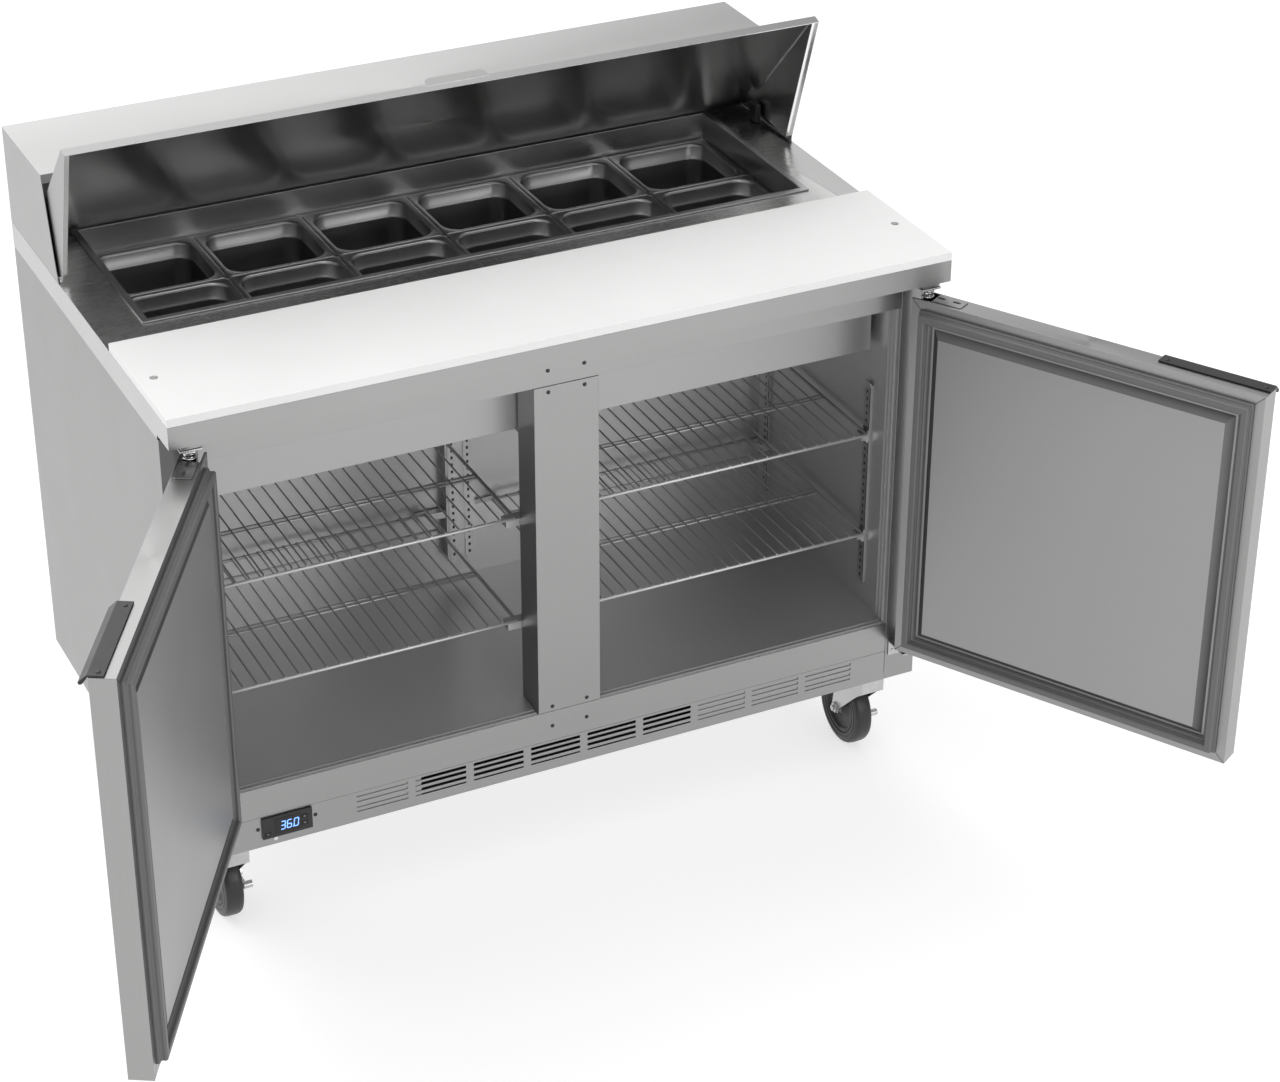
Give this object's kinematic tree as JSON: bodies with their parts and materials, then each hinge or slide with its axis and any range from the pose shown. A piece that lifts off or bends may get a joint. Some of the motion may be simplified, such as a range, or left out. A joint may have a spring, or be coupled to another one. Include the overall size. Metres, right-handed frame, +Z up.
{
  "type": "refrigerated sandwich prep table",
  "caption": "Stainless refrigerated prep table on swivel casters, with a cutting board, sunken food pans under a hinged lid and doors opening on shelved bays.",
  "frame": {"origin": "on the floor, under the middle of the unit's box with both doors open", "axes": "+Z up, -Y towards the person working at the cutting board, +X to that person's right as they face the unit"},
  "size_m": [1.7582, 1.2206, 1.1546],
  "materials": {
    "insulated_body": "grey coated liner over foamed insulation",
    "side_panel_left": "brushed stainless steel sheet",
    "side_panel_right": "brushed stainless steel sheet",
    "back_panel": "brushed stainless steel sheet",
    "bottom_pan": "bright zinc plate",
    "base_grille": "brushed stainless steel sheet, grain across the unit",
    "sill_rail": "brushed stainless steel sheet, grain across the unit",
    "top_rail": "brushed stainless steel sheet, grain across the unit",
    "mullion_cover": "brushed stainless steel sheet, grain across the unit",
    "worktop": "brushed stainless steel, brighter than the front",
    "pan_well": "brushed stainless steel, brighter than the front",
    "pan_divider_grid": "polished stainless steel",
    "pan_front1": "polished stainless steel",
    "pan_front2": "polished stainless steel",
    "pan_front3": "polished stainless steel",
    "pan_front4": "polished stainless steel",
    "pan_front5": "polished stainless steel",
    "pan_front6": "polished stainless steel",
    "pan_rear1": "polished stainless steel",
    "pan_rear2": "polished stainless steel",
    "pan_rear3": "polished stainless steel",
    "pan_rear4": "polished stainless steel",
    "pan_rear5": "polished stainless steel",
    "pan_rear6": "polished stainless steel",
    "hood": "brushed stainless steel sheet",
    "hinge_bracket_left": "bright zinc plate",
    "hinge_bracket_right": "bright zinc plate",
    "shelf_left_lower": "light grey coated wire",
    "shelf_left_upper": "light grey coated wire",
    "shelf_right_lower": "light grey coated wire",
    "shelf_right_upper": "light grey coated wire",
    "controller": "black moulded",
    "evaporator_cover": "grey coated sheet",
    "evaporator_coil": "bare fins",
    "compressor": "black paint",
    "condenser": "bare fins",
    "lid": "brushed stainless steel sheet",
    "cutting_board": "white polyethylene, fine matt texture",
    "door_left_skin": "brushed stainless steel sheet, grain across the unit",
    "door_left_liner": "grey moulded liner over foam",
    "door_left_gasket": "grey soft bellows seal",
    "door_left_handle": "black moulded strip",
    "door_right_skin": "brushed stainless steel sheet, grain across the unit",
    "door_right_liner": "grey moulded liner over foam",
    "door_right_gasket": "grey soft bellows seal",
    "door_right_handle": "black moulded strip",
    "caster_front_left_fork": "bright zinc plate",
    "caster_front_left_wheel": "black moulded wheel",
    "caster_front_right_fork": "bright zinc plate",
    "caster_front_right_wheel": "black moulded wheel",
    "caster_rear_left_fork": "bright zinc plate",
    "caster_rear_left_wheel": "black moulded wheel",
    "caster_rear_right_fork": "bright zinc plate",
    "caster_rear_right_wheel": "black moulded wheel",
    "caster_front_left_brake_lever": "bright zinc plate",
    "caster_front_right_brake_lever": "bright zinc plate",
    "button_up": "black moulded",
    "button_down": "black moulded",
    "button_set": "black moulded",
    "condenser_fan": "black moulded"
  },
  "bodies": {
    "cabinet": {"insulated_body": "insulated_body", "side_panel_left": "side_panel_left", "side_panel_right": "side_panel_right", "back_panel": "back_panel", "bottom_pan": "bottom_pan", "base_grille": "base_grille", "sill_rail": "sill_rail", "top_rail": "top_rail", "mullion_cover": "mullion_cover", "worktop": "worktop", "pan_well": "pan_well", "pan_divider_grid": "pan_divider_grid", "pan_front1": "pan_front1", "pan_front2": "pan_front2", "pan_front3": "pan_front3", "pan_front4": "pan_front4", "pan_front5": "pan_front5", "pan_front6": "pan_front6", "pan_rear1": "pan_rear1", "pan_rear2": "pan_rear2", "pan_rear3": "pan_rear3", "pan_rear4": "pan_rear4", "pan_rear5": "pan_rear5", "pan_rear6": "pan_rear6", "hood": "hood", "hinge_bracket_left": "hinge_bracket_left", "hinge_bracket_right": "hinge_bracket_right", "shelf_left_lower": "shelf_left_lower", "shelf_left_upper": "shelf_left_upper", "shelf_right_lower": "shelf_right_lower", "shelf_right_upper": "shelf_right_upper", "controller": "controller", "evaporator_cover": "evaporator_cover", "evaporator_coil": "evaporator_coil", "compressor": "compressor", "condenser": "condenser"},
    "lid": {"lid": "lid"},
    "board": {"cutting_board": "cutting_board"},
    "door_left": {"door_left_skin": "door_left_skin", "door_left_liner": "door_left_liner", "door_left_gasket": "door_left_gasket", "door_left_handle": "door_left_handle"},
    "door_right": {"door_right_skin": "door_right_skin", "door_right_liner": "door_right_liner", "door_right_gasket": "door_right_gasket", "door_right_handle": "door_right_handle"},
    "caster_front_left_swivel": {"caster_front_left_fork": "caster_front_left_fork"},
    "caster_front_left_roller": {"caster_front_left_wheel": "caster_front_left_wheel"},
    "caster_front_right_swivel": {"caster_front_right_fork": "caster_front_right_fork"},
    "caster_front_right_roller": {"caster_front_right_wheel": "caster_front_right_wheel"},
    "caster_rear_left_swivel": {"caster_rear_left_fork": "caster_rear_left_fork"},
    "caster_rear_left_roller": {"caster_rear_left_wheel": "caster_rear_left_wheel"},
    "caster_rear_right_swivel": {"caster_rear_right_fork": "caster_rear_right_fork"},
    "caster_rear_right_roller": {"caster_rear_right_wheel": "caster_rear_right_wheel"},
    "brake_front_left": {"caster_front_left_brake_lever": "caster_front_left_brake_lever"},
    "brake_front_right": {"caster_front_right_brake_lever": "caster_front_right_brake_lever"},
    "key_up": {"button_up": "button_up"},
    "key_down": {"button_down": "button_down"},
    "key_set": {"button_set": "button_set"},
    "fan": {"condenser_fan": "condenser_fan"}
  },
  "joints": [
    {"name": "lid_hinge", "type": "hinge", "parent": "cabinet", "child": "lid", "pos_m": [0, 0.36628, 0.919], "axis": [1, 0, 0], "range_deg": [0, 71]},
    {"name": "door_right_hinge", "type": "hinge", "parent": "cabinet", "child": "door_right", "pos_m": [0.578, -0.11972, 0.5], "axis": [0, 0, 1], "range_deg": [-120, 0]},
    {"name": "door_left_hinge", "type": "hinge", "parent": "cabinet", "child": "door_left", "pos_m": [-0.578, -0.11972, 0.5], "axis": [0, 0, -1], "range_deg": [-120, 0]},
    {"name": "board_lift", "type": "slide", "parent": "cabinet", "child": "board", "axis": [0, 0, 1], "range_m": [0, 0.05]},
    {"name": "caster_front_left_swivel_turn", "type": "hinge", "parent": "cabinet", "child": "caster_front_left_swivel", "pos_m": [-0.541, -0.02872, 0.16], "axis": [0, 0, 1], "continuous": true},
    {"name": "caster_front_left_roll", "type": "hinge", "parent": "caster_front_left_swivel", "child": "caster_front_left_roller", "pos_m": [-0.541, 0.00628, 0.0635], "axis": [1, 0, 0], "continuous": true},
    {"name": "caster_front_right_swivel_turn", "type": "hinge", "parent": "cabinet", "child": "caster_front_right_swivel", "pos_m": [0.541, -0.02872, 0.16], "axis": [0, 0, 1], "continuous": true},
    {"name": "caster_front_right_roll", "type": "hinge", "parent": "caster_front_right_swivel", "child": "caster_front_right_roller", "pos_m": [0.541, 0.00628, 0.0635], "axis": [1, 0, 0], "continuous": true},
    {"name": "caster_rear_left_swivel_turn", "type": "hinge", "parent": "cabinet", "child": "caster_rear_left_swivel", "pos_m": [-0.541, 0.50928, 0.16], "axis": [0, 0, 1], "continuous": true},
    {"name": "caster_rear_left_roll", "type": "hinge", "parent": "caster_rear_left_swivel", "child": "caster_rear_left_roller", "pos_m": [-0.541, 0.54428, 0.0635], "axis": [1, 0, 0], "continuous": true},
    {"name": "caster_rear_right_swivel_turn", "type": "hinge", "parent": "cabinet", "child": "caster_rear_right_swivel", "pos_m": [0.541, 0.50928, 0.16], "axis": [0, 0, 1], "continuous": true},
    {"name": "caster_rear_right_roll", "type": "hinge", "parent": "caster_rear_right_swivel", "child": "caster_rear_right_roller", "pos_m": [0.541, 0.54428, 0.0635], "axis": [1, 0, 0], "continuous": true},
    {"name": "brake_front_left_press", "type": "hinge", "parent": "caster_front_left_swivel", "child": "brake_front_left", "pos_m": [-0.541, 0.00628, 0.0635], "axis": [1, 0, 0], "range_deg": [0, 22]},
    {"name": "brake_front_right_press", "type": "hinge", "parent": "caster_front_right_swivel", "child": "brake_front_right", "pos_m": [0.541, 0.00628, 0.0635], "axis": [1, 0, 0], "range_deg": [0, 22]},
    {"name": "key_up_press", "type": "slide", "parent": "cabinet", "child": "key_up", "axis": [0, 1, 0], "range_m": [0, 0.0008], "stiffness_N_per_m": 200},
    {"name": "key_down_press", "type": "slide", "parent": "cabinet", "child": "key_down", "axis": [0, 1, 0], "range_m": [0, 0.0008], "stiffness_N_per_m": 200},
    {"name": "key_set_press", "type": "slide", "parent": "cabinet", "child": "key_set", "axis": [0, 1, 0], "range_m": [0, 0.0008], "stiffness_N_per_m": 200},
    {"name": "fan_spin", "type": "hinge", "parent": "cabinet", "child": "fan", "pos_m": [0.16, 0.50428, 0.3115], "axis": [0, 1, 0], "continuous": true}
  ]
}
